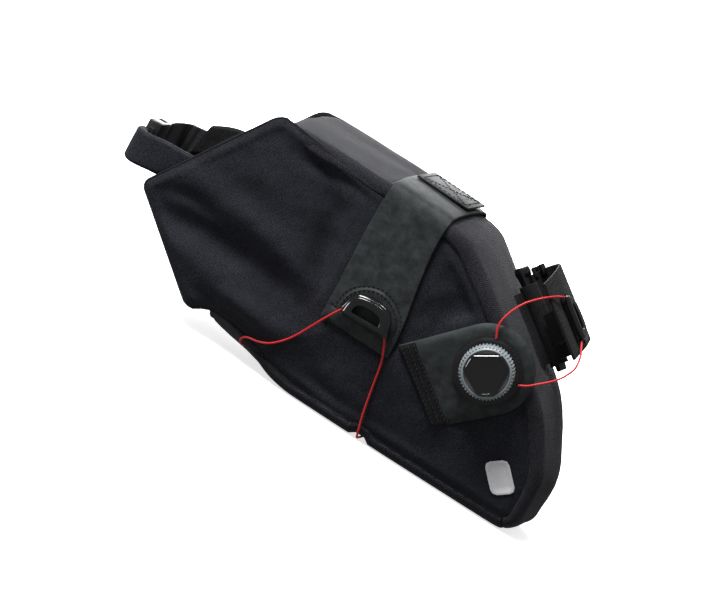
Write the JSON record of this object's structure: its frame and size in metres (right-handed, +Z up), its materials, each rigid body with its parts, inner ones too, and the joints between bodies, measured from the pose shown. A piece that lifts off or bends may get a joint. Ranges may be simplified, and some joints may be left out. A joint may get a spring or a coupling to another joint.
{
  "type": "saddle bag",
  "caption": "Roll-top saddle bag with a rail strap, a seatpost band, lace dials on both sides and a side-release buckle.",
  "frame": {"origin": "centre of the flat of the base that the bag stands on, midway between its two sides", "axes": "+X towards the nose of the bag, +Y towards the far side, +Z up from the base; the front dial is on the near side at -Y"},
  "size_m": [0.2873, 0.1348, 0.1343],
  "materials": {
    "shell_fabric": "coated plain weave, matte",
    "gusset_fabric": "coated plain weave, matte",
    "coated_strap": "rubber-coated fabric, matte, mottled",
    "black_webbing": "woven nylon",
    "black_plastic": "moulded, satin",
    "gloss_plastic": "moulded, gloss",
    "grip_coating": "soft-touch silver grey",
    "steel": "turned",
    "red_lace": "braided lace",
    "reflective_film": "reflective heat-set film"
  },
  "bodies": {
    "bag": {"side_panel_near": "shell_fabric", "side_panel_far": "shell_fabric", "rear_upper_panel": "shell_fabric", "rear_lower_panel": "shell_fabric", "base_panel": "shell_fabric", "top_panel": "gusset_fabric", "nose_panel": "gusset_fabric", "roll_top": "shell_fabric", "base_stiffener": "black_plastic", "mouth_stay_upper": "black_plastic", "mouth_stay_lower": "black_plastic", "rail_strap": "coated_strap", "rail_patch": "coated_strap", "strap_end_flap": "coated_strap", "dial_tab_near": "coated_strap", "dial_seat_far": "coated_strap", "rail_guide": "gloss_plastic", "lace_rail": "red_lace", "lace_post": "red_lace", "post_sleeve": "black_webbing", "post_rod": "gloss_plastic", "roll_webbing_near": "black_webbing", "roll_webbing_far": "black_webbing", "buckle_socket": "black_plastic", "reflective_mark": "reflective_film", "dial_housing_near": "black_plastic", "dial_axle_near": "steel", "dial_housing_far": "black_plastic", "dial_axle_far": "steel"},
    "spool_near": {"dial_spool_near": "black_plastic"},
    "knob_near": {"dial_grip_near": "grip_coating", "dial_cap_near": "gloss_plastic"},
    "spool_far": {"dial_spool_far": "black_plastic"},
    "knob_far": {"dial_grip_far": "grip_coating", "dial_cap_far": "gloss_plastic"},
    "buckle_plug": {"buckle_plug": "black_plastic", "buckle_tongue": "black_plastic", "buckle_bar": "black_plastic"},
    "prong_lower": {"buckle_prong_lower": "black_plastic"},
    "prong_upper": {"buckle_prong_upper": "black_plastic"},
    "post_band": {"post_band": "black_webbing", "post_guide": "black_plastic", "post_webbing": "black_webbing", "post_pull_tab": "black_webbing", "post_hook": "gloss_plastic"}
  },
  "joints": [
    {"name": "dial_turn_near", "type": "hinge", "parent": "bag", "child": "spool_near", "pos_m": [0.0245, -0.04388, 0.072], "axis": [0.1736, -0.9848, 0], "continuous": true},
    {"name": "knob_pull_near", "type": "slide", "parent": "spool_near", "child": "knob_near", "axis": [0.1736, -0.9848, 0], "range_m": [0, 0.0025]},
    {"name": "dial_turn_far", "type": "hinge", "parent": "bag", "child": "spool_far", "pos_m": [-0.048, 0.0562, 0.068], "axis": [0.0698, 0.9976, 0], "continuous": true},
    {"name": "knob_pull_far", "type": "slide", "parent": "spool_far", "child": "knob_far", "axis": [0.0698, 0.9976, 0], "range_m": [0, 0.0025]},
    {"name": "buckle_release", "type": "slide", "parent": "bag", "child": "buckle_plug", "axis": [0, 1, 0], "range_m": [0, 0.014], "deforming": ["roll_webbing_far"]},
    {"name": "prong_squeeze_lower", "type": "hinge", "parent": "buckle_plug", "child": "prong_lower", "pos_m": [-0.20339, 0.0052, 0.06023], "axis": [-0.9976, 0, -0.0698], "range_deg": [0, 7], "stiffness_Nm_per_rad": 0.02},
    {"name": "prong_squeeze_upper", "type": "hinge", "parent": "buckle_plug", "child": "prong_upper", "pos_m": [-0.20446, 0.0052, 0.07559], "axis": [-0.9976, 0, -0.0698], "range_deg": [-7, 0], "stiffness_Nm_per_rad": 0.02},
    {"name": "band_swing", "type": "hinge", "parent": "bag", "child": "post_band", "pos_m": [0.00559, 0, 0.12005], "axis": [0.8211, 0, -0.5708], "range_deg": [-35, 8], "deforming": ["lace_post"]}
  ],
  "couplings": [
    {"joint": "prong_squeeze_upper", "follows": "prong_squeeze_lower", "ratio": -1}
  ]
}
